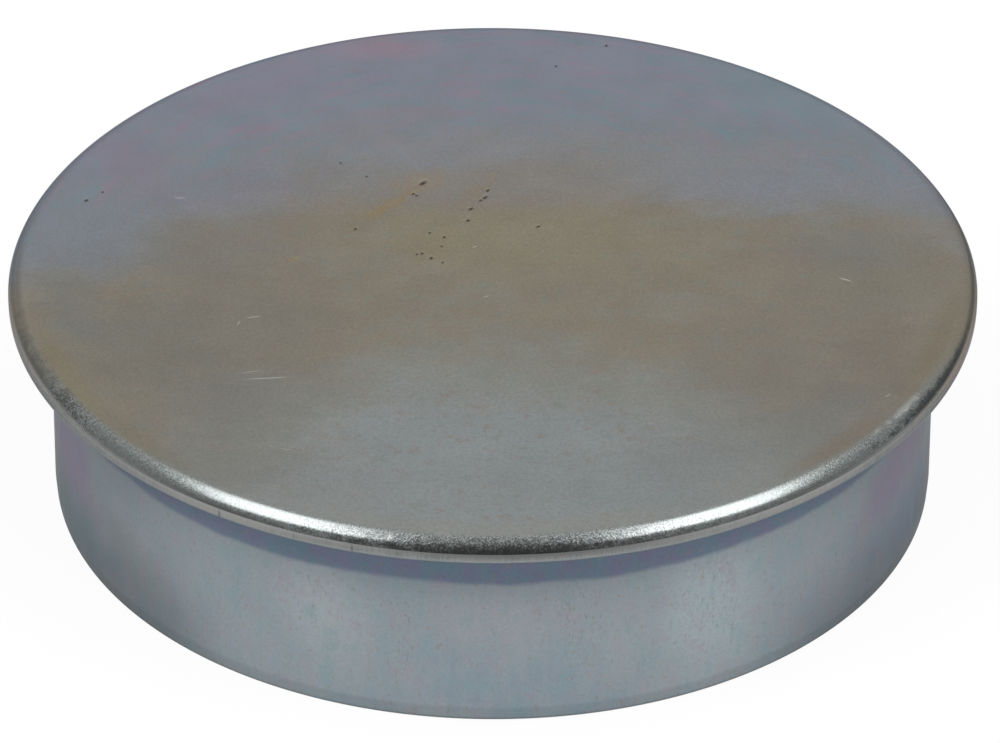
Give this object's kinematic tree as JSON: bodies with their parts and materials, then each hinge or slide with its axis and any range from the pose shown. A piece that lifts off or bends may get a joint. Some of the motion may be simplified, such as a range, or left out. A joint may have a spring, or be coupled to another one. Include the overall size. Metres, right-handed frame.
{
  "type": "hub grease cap",
  "caption": "Pressed sheet-steel grease cap for a wheel hub: flat closed crown, folded seating rim and a straight skirt that presses into the hub's bore.",
  "frame": {"origin": "centre of the skirt's mouth edge, on the plane the cap stands on", "axes": "+Z along the cap's axis, from the open mouth to the closed crown"},
  "size_m": [0.079, 0.079, 0.0193],
  "materials": {
    "zinc_plated_steel": "matt zinc plate with a clear-blue passivate, cloudy and faintly iridescent, ironed smooth on the rim's land, stained and pitted on the crown"
  },
  "bodies": {
    "root": {"cap": "zinc_plated_steel"}
  },
  "joints": []
}
